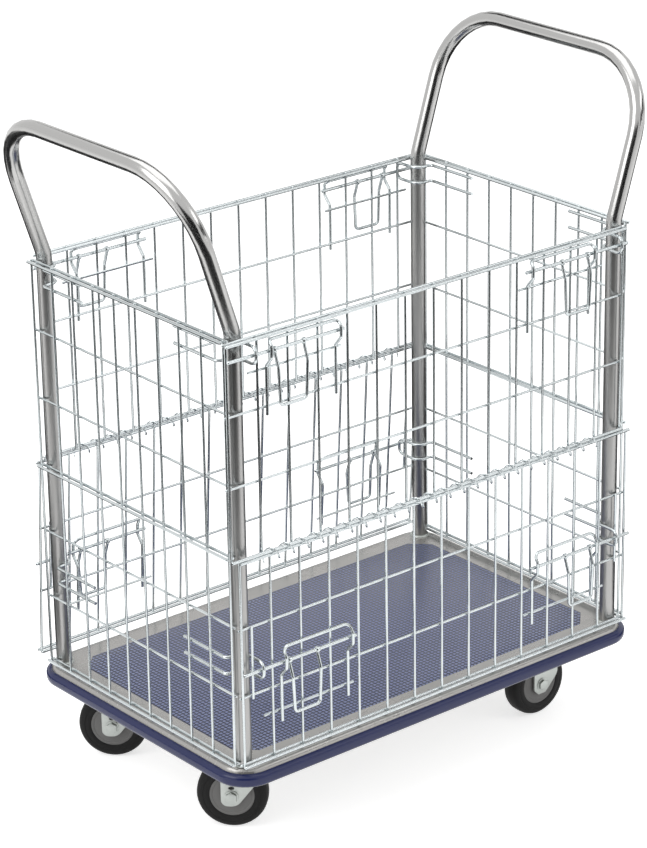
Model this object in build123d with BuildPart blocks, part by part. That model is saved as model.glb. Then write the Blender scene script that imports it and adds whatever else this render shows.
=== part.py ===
"""Mesh cage trolley: a steel deck on four casters, two bent tube handles,
fixed wire mesh ends and long mesh sides that fold at a spiral hinge.

Millimetres. +Z is up and the wheels stand on Z = 0. +X points to the end with
the fixed casters, and the front long side is at -Y.
"""

import math
import os

from build123d import *

os.makedirs("parts", exist_ok=True)

# Deck
deck_top = 147.0
pan_length = 724.0
pan_width = 464.0
pan_corner = 40.0
pan_edge = 9.0
sheet = 2.0
rim_depth = 26.0
mat_end_border = 36.0
mat_side_border = 40.0
mat_corner_cut = 27.0
mat_thickness = 2.5
mat_recess = 2.0
mat_clearance = 0.3
bumper_thickness = 8.0
bumper_height = 18.5
bumper_edge = 6.5
bumper_fit = 0.1

# Handles, which are also the corner posts
post_inset = 24.5
tube_diameter = 22.2
tube_wall = 1.6
post_depth = 18.0
kink_height = 615.0
handle_height = 827.5
handle_reach = 69.0
kink_radius = 45.0
handle_corner = 104.0
cup_wall = 2.8
cup_floor = 3.0
cup_fit = 0.2
collar_width = 3.6
collar_height = 2.6
plug_length = 14.0
plug_fit = 0.1
post_bolt = 10.0
post_bolt_head = 17.0
post_bolt_head_height = 6.4

# Wire mesh: heights are above the deck
wire = 4.0
rail = 5.0
weld_gap = 0.02
post_gap = 0.3
bottom_rail = 6.0
top_rail = 607.0
end_set_back = 17.05
end_wires = 10
end_spaces = 6
side_set_back = 9.0
side_wires = 15
half_spaces = 3
cross_overhang = 3.0
wire_overhang = 3.0
upper_shift = -13.0
flats_turn = 30.0
back_lean = 3.8

# Spiral hinge between the two halves of a long side
hinge_height = 305.7
rod_gap = 0.3
spiral_wire = 2.4
spiral_gap = 0.3
spiral_turns = 24
bare_turns = 2
spiral_phase = 176.0

# Latches: a sliding bolt in a staple, with a bail to work it. Spaces are counted in
# mesh spaces from the panel's last upright, and a bolt's tip is level with its end.
bolt_diameter = 5.0
bolt_stand = 7.0
upper_bolt = 587.0
lower_bolt = 143.0
bolt_length = 193.0
bolt_end_round = 1.2
staple_outer_spaces = 1.3
staple_spread_spaces = 2.3
staple_gap = 0.7
upper_bar_rise = 14.0
lower_bar_rise = 20.0
staple_jog_half = 8.0
staple_jog_foot = 22.0
staple_leg = 90.0
staple_bend = 5.0
upper_bar_bend = 6.5
lower_bar_bend = 9.5
stay_length = 156.0
stay_inset = 50.0
upper_stay_drop = 27.0
lower_stay_drop = 75.0
bail_inset = 9.0
bail_width = 48.0
bail_taper = 2.5
bail_drop = 76.0
bail_knee = 24.0
bail_stand = 7.0
bail_bend = 6.0
eye_length = 5.0
eye_wall = 1.7
eye_fit = 0.1
short_wire_spaces = 0.34

# Keepers: wire loops that hug the posts and catch the bolts
keeper_half = 12.0
keeper_reach = 12.5
keeper_length = 105.0
keeper_bend = 10.0
keeper_foot_bend = 6.5
keeper_gap = 0.3

# Casters
wheel_radius = 50.0
wheel_width = 28.0
tyre_bore = 31.5
tyre_shoulder = 7.0
tyre_crown = 2.0
hub_rim = 4.5
hub_web = 25.0
hub_boss = 11.5
hub_side_gap = 1.0
hub_rim_set_back = 1.0
axle_diameter = 12.0
axle_fit = 0.05
axle_head = 15.0
axle_head_height = 5.0
caster_height = 128.0
plate_length = 96.0
plate_width = 72.0
plate_thickness = 3.5
plate_corner = 8.0
plate_bolt_x = 75.0
plate_bolt_y = 51.0
plate_bolt = 8.0
plate_bolt_hole = 8.6
plate_bolt_head = 13.0
plate_bolt_head_height = 5.3
swivel_set_back = 98.0
fixed_set_back = 105.0
caster_side_set_back = 93.0
trail = 33.0
swivel_heading = 135.0
race_diameter = 56.0
race_height = 8.0
race_gap = 0.3
crown_diameter = 62.0
leg_thickness = 3.0
leg_gap = 1.5
fork_top_length = 84.0
bracket_top_length = 46.0
bracket_foot_cut = 8.0
leg_foot_radius = 15.0
king_diameter = 12.0
king_fit = 0.06
king_head = 20.0
king_head_height = 4.0
channel_width = 104.0
channel_end_gap = 22.0
channel_sheet = 2.5

# Worked out from the sizes above
tube_radius = tube_diameter / 2
post_x = pan_length / 2 - post_inset
post_y = pan_width / 2 - post_inset
mat_length = pan_length - 2 * mat_end_border
mat_width = pan_width - 2 * mat_side_border
channel_length = pan_width - 2 * channel_end_gap
swivel_x = swivel_set_back - pan_length / 2
fixed_x = pan_length / 2 - fixed_set_back
caster_y = pan_width / 2 - caster_side_set_back
panel_stand = tube_radius + post_gap + rail + weld_gap + wire / 2
end_plane = post_x + panel_stand
side_plane = post_y + panel_stand
rod_stand = wire / 2 + weld_gap + rail / 2
rod_offset = rail / 2 + rod_gap / 2
layer = wire + weld_gap
bent_layer = wire / 2 + wire / math.sqrt(3) + weld_gap
rail_layer = wire / 2 + weld_gap + rail / 2
side_length = pan_length - 2 * side_set_back
side_pitch = (side_length - 2 * cross_overhang) / (side_wires - 1)
end_length = pan_width - 2 * end_set_back
end_pitch = (end_length - 2 * cross_overhang) / (end_wires - 1)
bolt_tip = side_length / 2
last_upright = side_length / 2 - cross_overhang
staple_outer = last_upright - staple_outer_spaces * side_pitch
staple_spread = staple_spread_spaces * side_pitch
stay_middle = staple_outer - stay_inset
bail_outer = staple_outer - bail_inset
short_wire_x = last_upright - short_wire_spaces * side_pitch
keeper_tail = post_y - keeper_length
mat_floor = deck_top - mat_recess
posts = [(x, y) for x in (-post_x, post_x) for y in (-post_y, post_y)]
sides = {"front": -1, "back": 1}
ends = {"left": -1, "right": 1}


def save(piece, name):
    """Label a finished piece and write it to its own file."""
    piece.label = name
    export_step(piece, f"parts/{name}.step")


def hexagon(diameter, turn=0.0):
    """Section of a thin wire, with its flats one diameter apart."""
    return RegularPolygon(diameter / 2, 6, major_radius=False, rotation=turn)


def bent_wire(points, bend, diameter):
    """One length of wire through the points, with each corner bent to a radius."""
    with BuildPart() as bent:
        with BuildLine():
            path = FilletPolyline(*points, radius=bend)
        with BuildSketch(Plane(path @ 0, z_dir=path % 0)):
            hexagon(diameter)
        sweep(path=path)
    return bent.part


# Deck: a pressed steel pan with a turned-down rim and a floor for the mat
with BuildPart() as pan_hollow:
    with BuildSketch(Plane.XY.offset(deck_top - rim_depth)):
        RectangleRounded(pan_length - 2 * sheet, pan_width - 2 * sheet, pan_corner - sheet)
    extrude(amount=rim_depth - sheet)
    fillet(pan_hollow.faces().sort_by(Axis.Z)[-1].edges(), pan_edge - sheet)

with BuildPart() as deck_plate:
    with BuildSketch(Plane.XY.offset(deck_top - rim_depth)):
        RectangleRounded(pan_length, pan_width, pan_corner)
    extrude(amount=rim_depth)
    fillet(deck_plate.faces().sort_by(Axis.Z)[-1].edges(), pan_edge)
    add(pan_hollow.part, mode=Mode.SUBTRACT)
    with BuildSketch(Plane.XY.offset(mat_floor - sheet)) as tray:
        Rectangle(mat_length + 2 * sheet, mat_width + 2 * sheet)
        chamfer(tray.vertices(), mat_corner_cut + sheet)
    extrude(amount=mat_recess)
    with BuildSketch(Plane.XY.offset(mat_floor)) as tray:
        Rectangle(mat_length + 2 * mat_clearance, mat_width + 2 * mat_clearance)
        chamfer(tray.vertices(), mat_corner_cut)
    extrude(amount=mat_recess, mode=Mode.SUBTRACT)
    with BuildSketch(Plane.XY.offset(deck_top - rim_depth)):
        with Locations(*posts):
            Circle(tube_radius + cup_fit)
    extrude(amount=rim_depth, mode=Mode.SUBTRACT)
save(deck_plate.part, "deck_plate")

with BuildPart() as deck_mat:
    with BuildSketch(Plane.XY.offset(mat_floor)) as outline:
        Rectangle(mat_length, mat_width)
        chamfer(outline.vertices(), mat_corner_cut)
    extrude(amount=mat_thickness)
save(deck_mat.part, "deck_mat")

# Bumper: a soft strip with rounded edges round the rim
with BuildPart() as bumper:
    with BuildSketch(Plane.XY.offset(deck_top - rim_depth)):
        RectangleRounded(
            pan_length + 2 * bumper_thickness,
            pan_width + 2 * bumper_thickness,
            pan_corner + bumper_thickness,
        )
    extrude(amount=bumper_height)
    fillet(bumper.edges().filter_by(GeomType.LINE).group_by(Axis.Z)[-1], bumper_edge)
    fillet(bumper.faces().sort_by(Axis.Z)[0].edges(), bumper_edge)
    with BuildSketch(Plane.XY.offset(deck_top - rim_depth)):
        RectangleRounded(
            pan_length + 2 * bumper_fit, pan_width + 2 * bumper_fit, pan_corner + bumper_fit
        )
    extrude(amount=bumper_height, mode=Mode.SUBTRACT)
save(bumper.part, "bumper")

# Cross channels under the deck, one for each pair of casters
with BuildPart() as caster_channels:
    channel_depth = mat_floor - sheet - caster_height
    for channel_x in (swivel_x, fixed_x):
        with BuildSketch(Plane.XZ.offset(-channel_length / 2)):
            with Locations((channel_x, caster_height + channel_depth / 2)):
                Rectangle(channel_width, channel_depth)
            with Locations((channel_x, caster_height + channel_depth / 2 + channel_sheet)):
                Rectangle(channel_width - 2 * channel_sheet, channel_depth, mode=Mode.SUBTRACT)
        extrude(amount=channel_length)
        with BuildSketch(Plane.XY.offset(caster_height)):
            for middle_y in (-caster_y, caster_y):
                with Locations((channel_x, middle_y)):
                    with GridLocations(plate_bolt_x, plate_bolt_y, 2, 2):
                        Circle(plate_bolt_hole / 2)
        extrude(amount=channel_sheet, mode=Mode.SUBTRACT)
save(caster_channels.part, "caster_channels")

# Post cups under the deck, with the collars, plugs and bolts that hold the posts
cup_top = deck_top - sheet
cup_bottom = deck_top - post_depth - cup_floor
with BuildPart() as post_cups:
    with BuildSketch(Plane.XY.offset(cup_bottom)):
        with Locations(*posts):
            Circle(tube_radius + cup_fit + cup_wall)
    extrude(amount=cup_top - cup_bottom)
    with BuildSketch(Plane.XY.offset(cup_bottom + cup_floor)):
        with Locations(*posts):
            Circle(tube_radius + cup_fit)
    extrude(amount=post_depth, mode=Mode.SUBTRACT)
    with BuildSketch(Plane.XY.offset(cup_bottom)):
        with Locations(*posts):
            Circle(post_bolt / 2 + cup_fit)
    extrude(amount=cup_floor, mode=Mode.SUBTRACT)
    add(pan_hollow.part, mode=Mode.INTERSECT)
save(post_cups.part, "post_cups")

with BuildPart() as post_collars:
    with BuildSketch(Plane.XY.offset(deck_top)):
        with Locations(*posts):
            Circle(tube_radius + cup_fit + collar_width)
            Circle(tube_radius + cup_fit, mode=Mode.SUBTRACT)
    extrude(amount=collar_height)
    chamfer(post_collars.faces().filter_by(Axis.Z).group_by(Axis.Z)[-1].edges(), collar_height / 3)
save(post_collars.part, "post_collars")

with BuildPart() as post_plugs:
    with BuildSketch(Plane.XY.offset(deck_top - post_depth)):
        with Locations(*posts):
            Circle(tube_radius - tube_wall - plug_fit)
            Circle(post_bolt / 2 + plug_fit, mode=Mode.SUBTRACT)
    extrude(amount=plug_length)
save(post_plugs.part, "post_plugs")

with BuildPart() as post_bolts:
    with BuildSketch(Plane.XY.offset(cup_bottom - post_bolt_head_height)):
        with Locations(*posts):
            hexagon(post_bolt_head)
    extrude(amount=post_bolt_head_height)
    with BuildSketch(Plane.XY.offset(cup_bottom)):
        with Locations(*posts):
            Circle(post_bolt / 2)
    extrude(amount=cup_floor + plug_length)
save(post_bolts.part, "post_bolts")

# Handles: one bent tube at each end, upright as posts and then leaning outwards
for end, out in ends.items():
    with BuildPart() as handle:
        with BuildLine():
            foot = deck_top - post_depth
            grip_x = post_x + handle_reach
            handle_path = FilletPolyline(
                (out * post_x, -post_y, foot),
                (out * post_x, -post_y, deck_top + kink_height),
                (out * grip_x, -post_y, deck_top + handle_height),
                (out * grip_x, post_y, deck_top + handle_height),
                (out * post_x, post_y, deck_top + kink_height),
                (out * post_x, post_y, foot),
                radius=[kink_radius, handle_corner, handle_corner, kink_radius],
            )
        with BuildSketch(Plane(handle_path @ 0, z_dir=handle_path % 0)):
            Circle(tube_radius)
            Circle(tube_radius - tube_wall, mode=Mode.SUBTRACT)
        sweep(path=handle_path)
    save(handle.part, f"{end}_handle")

# Fixed end panels: upright wires between pairs of rails, with single cross wires
end_levels = [bottom_rail + (top_rail - bottom_rail) * k / end_spaces for k in range(end_spaces + 1)]
for end, out in ends.items():
    with BuildPart() as end_panel:
        with BuildSketch(Plane.XY.offset(deck_top + bottom_rail - wire_overhang)):
            with Locations((out * end_plane, 0)):
                with GridLocations(end_pitch, end_pitch, 1, end_wires):
                    hexagon(wire, flats_turn)
        extrude(amount=top_rail - bottom_rail + 2 * wire_overhang)
        with BuildSketch(Plane.XZ.offset(-end_length / 2)):
            for level, height in enumerate(end_levels):
                z = deck_top + height
                if level % half_spaces == 0:
                    with Locations(
                        (out * (end_plane - rail_layer), z), (out * (end_plane + rail_layer), z)
                    ):
                        hexagon(rail, flats_turn)
                else:
                    with Locations((out * (end_plane - layer), z)):
                        hexagon(wire, flats_turn)
        extrude(amount=end_length)
    save(end_panel.part, f"{end}_end_panel")

# Keepers: a loop of wire welded inside each end panel, bent round the post
hug_radius = tube_radius + keeper_gap + wire / math.sqrt(3)
hug_x = post_x - hug_radius
hug_y = post_y - hug_radius
keeper_bends = [keeper_foot_bend, hug_radius, keeper_bend]
keeper_bends += reversed(keeper_bends)
for end, out in ends.items():
    loops = []
    for side in sides.values():
        for height in (lower_bolt, upper_bolt):
            half_loop = [
                (out * (end_plane - bent_layer), side * keeper_tail),
                (out * (end_plane - bent_layer), side * hug_y),
                (out * hug_x, side * hug_y),
                (out * hug_x, side * (side_plane + keeper_reach)),
            ]
            over = deck_top + height + keeper_half
            under = deck_top + height - keeper_half
            loop = [(x, y, over) for x, y in half_loop]
            loop += [(x, y, under) for x, y in reversed(half_loop)]
            loops.append(bent_wire(loop, keeper_bends, wire))
    save(Compound(children=loops), f"{end}_keepers")


def half_panel_plane(side, upper):
    """Plane of one half of a long side: X to the right and Y up as seen from outside,
    with its origin on the axis of the half's own hinge rod."""
    rod_z = hinge_height + (rod_offset if upper else -rod_offset)
    plane = Plane(
        origin=(0, side * (side_plane + rod_stand), deck_top + rod_z),
        x_dir=(-side, 0, 0),
        z_dir=(0, side, 0),
    )
    if side > 0 and not upper:
        plane = plane.rotated((back_lean, 0, 0))
    return plane


def place(plane, upper, x, height, stand):
    """A point on a half panel: x along it, height above the deck when closed, and
    stand outwards from its upright wires."""
    rod_z = hinge_height + (rod_offset if upper else -rod_offset)
    shift = upper_shift if upper else 0
    return plane.from_local_coords((x + shift, height - rod_z, stand - rod_stand))


# Long sides: four mesh halves with their staples, bolts and bails
for side_name, side in sides.items():
    for upper in (False, True):
        half = f"{side_name}_{'upper' if upper else 'lower'}"
        plane = half_panel_plane(side, upper)
        rod_height = hinge_height + (rod_offset if upper else -rod_offset)
        far_rail = top_rail if upper else bottom_rail
        away = 1 if upper else -1
        bolt_height = upper_bolt if upper else lower_bolt
        stay_height = bolt_height - (upper_stay_drop if upper else lower_stay_drop)
        bar_rise = upper_bar_rise if upper else lower_bar_rise
        bar_bend = upper_bar_bend if upper else lower_bar_bend
        cross_step = (far_rail - rod_height) / half_spaces
        cross_heights = [rod_height + cross_step * k for k in range(1, half_spaces)]

        with BuildPart() as half_panel:
            uprights = Plane(
                place(plane, upper, 0, rod_height, 0), x_dir=plane.x_dir, z_dir=plane.y_dir * away
            )
            with BuildSketch(uprights):
                with GridLocations(side_pitch, side_pitch, side_wires, 1):
                    hexagon(wire)
            extrude(amount=abs(far_rail - rod_height) + wire_overhang)
            along = Plane(
                place(plane, upper, -side_length / 2, rod_height, 0),
                x_dir=plane.z_dir,
                z_dir=plane.x_dir,
            )
            with BuildSketch(along):
                for height in cross_heights:
                    with Locations((-layer, rod_height - height)):
                        hexagon(wire, flats_turn)
                with Locations(
                    (-rail_layer, rod_height - far_rail), (rail_layer, rod_height - far_rail)
                ):
                    hexagon(rail, flats_turn)
                with Locations((rod_stand, 0)):
                    Circle(rail / 2)
            extrude(amount=side_length)
            for hand in (-1, 1):
                stay = Plane(
                    place(plane, upper, hand * stay_middle - stay_length / 2, stay_height, 0),
                    x_dir=plane.z_dir,
                    z_dir=plane.x_dir,
                )
                with BuildSketch(stay):
                    with Locations((-layer, 0)):
                        hexagon(wire, flats_turn)
                extrude(amount=stay_length)
            if not upper:
                short_foot = cross_heights[-1] - wire
                short = Plane(
                    place(plane, upper, 0, short_foot, 0), x_dir=plane.x_dir, z_dir=plane.y_dir
                )
                with BuildSketch(short):
                    with Locations((-short_wire_x, 0), (short_wire_x, 0)):
                        hexagon(wire)
                extrude(amount=abs(cross_step) + 2 * wire)
        save(half_panel.part, f"{half}_panel")

        # Staples stand out round the bolts and are welded to the cross wires
        staples = []
        jog = bolt_stand + bolt_diameter / 2 + staple_gap + wire / 2
        for hand in (-1, 1):
            leg_heights = [
                (bolt_height - staple_leg, bent_layer - layer),
                (bolt_height - staple_jog_foot, bent_layer - layer),
                (bolt_height - staple_jog_half, jog),
                (bolt_height + staple_jog_half, jog),
                (bolt_height + bar_rise, bent_layer),
            ]
            near_leg = [(hand * staple_outer, z, u) for z, u in leg_heights]
            far_leg = [(hand * (staple_outer - staple_spread), z, u) for z, u in reversed(leg_heights)]
            staple_path = [place(plane, upper, *point) for point in near_leg + far_leg]
            leg_bends = [staple_bend] * 3
            staple_bends = leg_bends + [bar_bend, bar_bend] + leg_bends
            staples.append(bent_wire(staple_path, staple_bends, wire))
        save(Compound(children=staples), f"{half}_staples")

        for hand, hand_name in ((-1, "left"), (1, "right")):
            with BuildPart() as bolt:
                bolt_plane = Plane(
                    place(plane, upper, hand * bolt_tip, bolt_height, bolt_stand),
                    x_dir=plane.z_dir,
                    z_dir=plane.x_dir * -hand,
                )
                with BuildSketch(bolt_plane):
                    Circle(bolt_diameter / 2)
                extrude(amount=bolt_length)
                chamfer(bolt.edges().filter_by(GeomType.CIRCLE), bolt_end_round)
            save(bolt.part, f"{half}_{hand_name}_bolt")

            # The bail hangs plumb from the bolt, also where the panel leans
            hang = Plane(
                place(plane, upper, 0, bolt_height, bolt_stand),
                x_dir=plane.x_dir,
                z_dir=(0, side, 0),
            )
            bail_inner = bail_outer - bail_width
            eye_foot = bolt_diameter / 2 + eye_fit + eye_wall / 2
            bail_points = [
                (bail_outer, -eye_foot, 0),
                (bail_outer, -bail_knee, bail_stand),
                (bail_outer - bail_taper, -bail_drop, bail_stand),
                (bail_inner + bail_taper, -bail_drop, bail_stand),
                (bail_inner, -bail_knee, bail_stand),
                (bail_inner, -eye_foot, 0),
            ]
            bail_path = [hang.from_local_coords((hand * x, z, u)) for x, z, u in bail_points]
            bail_loop = bent_wire(bail_path, bail_bend, wire)
            with BuildPart() as bail:
                add(bail_loop)
                for eye_x in (bail_outer, bail_inner):
                    eye_plane = Plane(
                        hang.from_local_coords((hand * eye_x, 0, 0)),
                        x_dir=hang.z_dir,
                        z_dir=hang.x_dir,
                    )
                    with BuildSketch(eye_plane):
                        Circle(bolt_diameter / 2 + eye_fit + eye_wall)
                    extrude(amount=eye_length / 2, both=True)
                    with BuildSketch(eye_plane):
                        Circle(bolt_diameter / 2 + eye_fit)
                    extrude(amount=eye_length, both=True, mode=Mode.SUBTRACT)
            save(bail.part, f"{half}_{hand_name}_bail")


# Spiral hinges: wire wound round both hinge rods, clear of the upright wires
spiral_radius = rod_offset + rail / 2 + spiral_gap + spiral_wire / 2
spiral_pitch = side_pitch / 2
first_upright = upper_shift - side_pitch * (side_wires - 1) / 2
spiral_start = first_upright + spiral_pitch * (bare_turns + (180 - spiral_phase) / 360)


def spiral_point(side, turns):
    """Point of the winding, and its direction there, after so many turns."""
    x = spiral_start + spiral_pitch * turns
    angle = math.radians(180 + 360 * turns)
    outward = side * (side_plane + rod_stand - spiral_radius * math.sin(angle))
    point = Vector(-side * x, outward, deck_top + hinge_height + spiral_radius * math.cos(angle))
    turning = 2 * math.pi * spiral_radius / spiral_pitch
    heading = Vector(-side, -side * turning * math.cos(angle), -turning * math.sin(angle))
    return point, heading.normalized()


def biarc_middle(start, start_heading, end, end_heading):
    """Point where two arcs meet that leave the start and reach the end as asked."""
    chord = end - start
    both = start_heading + end_heading
    a = 2 * (start_heading.dot(end_heading) - 1)
    b = -2 * chord.dot(both)
    reach = (-b - math.sqrt(b * b - 4 * a * chord.dot(chord))) / (2 * a)
    return (start + start_heading * reach + end - end_heading * reach) * 0.5


def winding_arcs(side):
    """The spiral's half turns in order, each as two arcs that run on smoothly."""
    arcs = []
    for half_turn in range(2 * spiral_turns):
        start, start_heading = spiral_point(side, half_turn / 2)
        end, end_heading = spiral_point(side, half_turn / 2 + 0.5)
        middle = biarc_middle(start, start_heading, end, end_heading)
        first_arc = TangentArc(start, middle, tangent=start_heading)
        arcs += [first_arc, TangentArc(middle, end, tangent=first_arc % 1)]
    return arcs


def wall_faces(piece, section):
    """The faces of a swept piece, without the two ends that match its section."""
    return [face for face in piece.faces() if abs(face.area - section.area) > section.area / 100]


# Each spiral is one tube: its section is turned along arc after arc, with straight ends
for side_name, side in sides.items():
    start, start_heading = spiral_point(side, 0)
    tail_start = Plane(start - start_heading * spiral_wire, x_dir=(0, 0, 1), z_dir=start_heading)
    with BuildSketch(tail_start) as wire_section:
        RegularPolygon(spiral_wire / 2, 6)
    section = wire_section.sketch.face()
    skin = [section]
    skin += wall_faces(extrude(section, amount=spiral_wire), section)
    section = section.moved(Location(start_heading * spiral_wire))
    for arc in winding_arcs(side):
        arc_axis = Axis(arc.arc_center, arc.normal())
        arc_angle = math.degrees(arc.length / arc.radius)
        turned_piece = revolve(section, axis=arc_axis, revolution_arc=arc_angle)
        skin += wall_faces(turned_piece, section)
        section = section.rotate(arc_axis, arc_angle)
    skin += wall_faces(extrude(section, amount=spiral_wire), section)
    skin.append(section.moved(Location((arc % 1) * spiral_wire)))
    save(Solid(Shell(skin)), f"{side_name}_spiral_hinge")

turn_steps = 48
turn_points = [spiral_point(1, step / turn_steps)[0] for step in range(3 * turn_steps)]
turn_gap = min(
    (point - other).length
    for step, point in enumerate(turn_points)
    for other in turn_points[step + turn_steps // 2 :]
)
print("least gap between the turns of a spiral:", round(turn_gap - spiral_wire, 2))


def caster_plane(x, y, heading):
    """Plane of one caster on the floor, with X along its trail."""
    turn = math.radians(heading)
    return Plane((x, y, 0), x_dir=(math.cos(turn), math.sin(turn), 0), z_dir=(0, 0, 1))


def upright_plane(base, along, across=0.0):
    """Upright plane square to the axle, with its origin at the axle's height."""
    origin = base.from_local_coords((along, across, wheel_radius))
    return Plane(origin, x_dir=base.x_dir, z_dir=-base.y_dir)


leg_face = wheel_width / 2 + leg_gap
leg_outside = leg_face + leg_thickness
boss_half = leg_face - hub_side_gap


def wheel_pieces(name, base, along):
    """Rubber tyre and moulded hub, turned about the axle."""
    wheel = upright_plane(base, along)
    section = Plane(wheel.origin, x_dir=wheel.y_dir, z_dir=wheel.x_dir)
    tyre_half = [
        (tyre_bore, wheel_width / 2),
        (wheel_radius - tyre_shoulder, wheel_width / 2),
        (wheel_radius - tyre_crown, wheel_width / 2 - tyre_crown),
        (wheel_radius, wheel_width / 2 - tyre_shoulder),
    ]
    with BuildPart() as tyre:
        with BuildSketch(section) as tyre_section:
            with BuildLine():
                Polyline(*tyre_half, *[(r, -w) for r, w in reversed(tyre_half)], close=True)
            make_face()
        revolve(axis=Axis(wheel.origin, wheel.z_dir))
    save(tyre.part, f"{name}_tyre")

    rim_half = wheel_width / 2 - hub_rim_set_back
    with BuildPart() as hub:
        with BuildSketch(section) as hub_section:
            with BuildLine():
                Polyline(
                    (axle_diameter / 2 + axle_fit, boss_half),
                    (hub_boss, boss_half),
                    (hub_boss, hub_web / 2),
                    (tyre_bore - hub_rim, hub_web / 2),
                    (tyre_bore - hub_rim, rim_half),
                    (tyre_bore, rim_half),
                    (tyre_bore, -rim_half),
                    (tyre_bore - hub_rim, -rim_half),
                    (tyre_bore - hub_rim, -hub_web / 2),
                    (hub_boss, -hub_web / 2),
                    (hub_boss, -boss_half),
                    (axle_diameter / 2 + axle_fit, -boss_half),
                    close=True,
                )
            make_face()
        revolve(axis=Axis(wheel.origin, wheel.z_dir))
    save(hub.part, f"{name}_hub")


def axle(base, along):
    """Axle bolt through both fork legs, with its head and nut."""
    with BuildPart() as axle_bolt:
        with BuildSketch(upright_plane(base, along)):
            Circle(axle_diameter / 2)
        extrude(amount=leg_outside, both=True)
        for hand in (-1, 1):
            with BuildSketch(upright_plane(base, along, hand * leg_outside)):
                hexagon(axle_head)
            extrude(amount=-hand * axle_head_height)
    return axle_bolt.part


def fork_leg(base, along, hand, leg_top):
    """One pressed fork leg: wide at the crown, narrow and round at the axle."""
    top = leg_top - wheel_radius
    front = leg_foot_radius - fork_top_length
    slope = math.atan2(top, front + leg_foot_radius) + math.pi / 2
    foot_start = (leg_foot_radius, 0)
    foot_end = (leg_foot_radius * math.cos(slope), leg_foot_radius * math.sin(slope))
    with BuildSketch(upright_plane(base, along, hand * leg_face)) as leg:
        with BuildLine():
            Line((leg_foot_radius, top), foot_start)
            ThreePointArc(foot_start, (0, -leg_foot_radius), foot_end)
            Line(foot_end, (front, top))
            Line((front, top), (leg_foot_radius, top))
        make_face()
        Circle(axle_diameter / 2 + axle_fit, mode=Mode.SUBTRACT)
    return leg.sketch


def bracket_leg(base, hand, leg_top):
    """One pressed bracket leg: upright sides and a foot with its corners cut."""
    top = leg_top - wheel_radius
    far_side = bracket_top_length - leg_foot_radius
    flat_end = leg_foot_radius - bracket_foot_cut
    with BuildSketch(upright_plane(base, 0, hand * leg_face)) as leg:
        with BuildLine():
            Polyline(
                (-leg_foot_radius, top),
                (-leg_foot_radius, -flat_end),
                (-flat_end, -leg_foot_radius),
                (flat_end, -leg_foot_radius),
                (far_side, far_side - flat_end - leg_foot_radius),
                (far_side, top),
                close=True,
            )
        make_face()
        Circle(axle_diameter / 2 + axle_fit, mode=Mode.SUBTRACT)
    return leg.sketch


def plate_outline(base, bore):
    """Caster plate with its bolt holes, on the plane at the top of the caster."""
    with BuildSketch(base.offset(caster_height - plate_thickness)) as plate:
        RectangleRounded(plate_length, plate_width, plate_corner)
        with GridLocations(plate_bolt_x, plate_bolt_y, 2, 2):
            Circle(plate_bolt_hole / 2, mode=Mode.SUBTRACT)
        if bore:
            Circle(bore, mode=Mode.SUBTRACT)
    return plate.sketch


# Swivel casters at the left end
race_bottom = caster_height - plate_thickness - race_height
crown_top = race_bottom - race_gap
crown_bottom = crown_top - leg_thickness
plates = []
for side_name, side in sides.items():
    name = f"{side_name}_left"
    still = caster_plane(swivel_x, side * caster_y, 0)
    turned = caster_plane(swivel_x, side * caster_y, swivel_heading)
    with BuildPart() as swivel_plate:
        extrude(plate_outline(still, king_diameter / 2 + king_fit), amount=plate_thickness)
        with BuildSketch(still.offset(race_bottom)):
            Circle(race_diameter / 2)
            Circle(king_diameter / 2 + king_fit, mode=Mode.SUBTRACT)
        extrude(amount=race_height)
    plates.append(swivel_plate.part)

    with BuildPart() as fork:
        with BuildSketch(turned.offset(crown_bottom)):
            Circle(crown_diameter / 2)
            with Locations((trail + leg_foot_radius - fork_top_length / 2, 0)):
                Rectangle(fork_top_length, 2 * leg_outside)
            Circle(king_diameter / 2 + king_fit, mode=Mode.SUBTRACT)
        extrude(amount=leg_thickness)
        for hand in (-1, 1):
            extrude(fork_leg(turned, trail, hand, crown_top), amount=-hand * leg_thickness)
    save(fork.part, f"{name}_fork")

    with BuildPart() as king_pin:
        with BuildSketch(still.offset(crown_bottom - race_gap)):
            Circle(king_diameter / 2)
        extrude(amount=caster_height - crown_bottom + race_gap)
        with BuildSketch(still.offset(crown_bottom - race_gap)):
            Circle(king_head / 2)
        extrude(amount=-king_head_height)
    save(king_pin.part, f"{name}_king_pin")

    save(axle(turned, trail), f"{name}_axle")
    wheel_pieces(name, turned, trail)
save(Compound(children=plates), "swivel_plates")

# Fixed casters at the right end
fixed_axles = []
for side_name, side in sides.items():
    name = f"{side_name}_right"
    base = caster_plane(fixed_x, side * caster_y, 0)
    with BuildPart() as bracket:
        extrude(plate_outline(base, 0), amount=plate_thickness)
        for hand in (-1, 1):
            leg = bracket_leg(base, hand, caster_height - plate_thickness)
            extrude(leg, amount=-hand * leg_thickness)
    save(bracket.part, f"{name}_bracket")
    fixed_axles.append(axle(base, 0))
    wheel_pieces(name, base, 0)
save(Compound(children=fixed_axles), "fixed_axles")

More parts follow.
